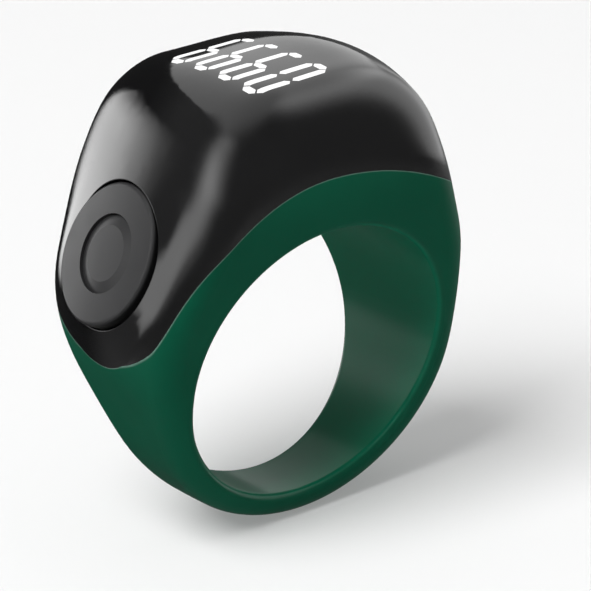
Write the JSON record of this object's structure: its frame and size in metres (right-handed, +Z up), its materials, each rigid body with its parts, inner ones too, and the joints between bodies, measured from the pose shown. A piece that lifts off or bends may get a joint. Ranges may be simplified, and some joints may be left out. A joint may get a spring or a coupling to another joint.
{
  "type": "digital tally counter ring",
  "caption": "Finger ring that counts presses: a moulded band round a finger bore carries a glossy head that hides a display, with a round push button on its sloping end.",
  "frame": {"origin": "on the axis of the finger bore, midway between the side faces", "axes": "+Y along the finger bore, +Z up to the display, -X towards the push button"},
  "size_m": [0.0272, 0.0178, 0.0323],
  "materials": {
    "band_plastic": "satin",
    "cover_plastic": "gloss",
    "button_plastic": "satin",
    "adhesive": "clear",
    "silicone": "matte",
    "dark_moulding": "matte",
    "steel": "satin",
    "plunger_plastic": "satin",
    "flex_film": "satin",
    "foam": "matte",
    "cell_foil": "satin",
    "board_laminate": "satin",
    "ceramic": "matte",
    "display_glass": "gloss",
    "contact_metal": "polished",
    "plated_magnet": "polished",
    "ferrite": "matte",
    "heavy_metal": "satin"
  },
  "bodies": {
    "ring": {"ring_band": "band_plastic", "top_cover": "cover_plastic", "cover_bond": "adhesive", "button_gasket": "silicone", "switch_base": "dark_moulding", "switch_cover": "steel", "switch_dome": "steel", "switch_flex": "flex_film", "battery_pad": "foam", "battery_cell": "cell_foil", "battery_tabs": "steel", "main_board": "board_laminate", "processor_chip": "dark_moulding", "memory_chip": "dark_moulding", "power_chip": "dark_moulding", "crystal": "steel", "antenna_chip": "ceramic", "board_connector": "plunger_plastic", "board_passives": "ceramic", "display_panel": "display_glass", "display_bond": "adhesive", "display_tray": "plunger_plastic", "display_flex": "flex_film", "charge_contacts": "contact_metal", "dock_magnets": "plated_magnet", "motor_can": "steel", "motor_base": "steel", "motor_magnet": "ferrite", "motor_shaft": "steel", "motor_flex": "flex_film"},
    "button": {"button_cap": "button_plastic"},
    "plunger": {"switch_plunger": "plunger_plastic"},
    "rotor": {"motor_rotor": "dark_moulding", "motor_weight": "heavy_metal"}
  },
  "joints": [
    {"name": "button_press", "type": "slide", "parent": "ring", "child": "button", "axis": [0.8792, 0, -0.4764], "range_m": [0, 0.0003], "stiffness_N_per_m": 600, "deforming": ["switch_dome"]},
    {"name": "plunger_press", "type": "slide", "parent": "ring", "child": "plunger", "axis": [0.8792, 0, -0.4764], "range_m": [0, 0.0003], "deforming": ["switch_dome"]},
    {"name": "motor_spin", "type": "hinge", "parent": "ring", "child": "rotor", "pos_m": [0.00848, 0, 0.01011], "axis": [0.6428, 0, 0.766], "continuous": true}
  ],
  "couplings": [
    {"joint": "plunger_press", "follows": "button_press", "ratio": 1}
  ]
}
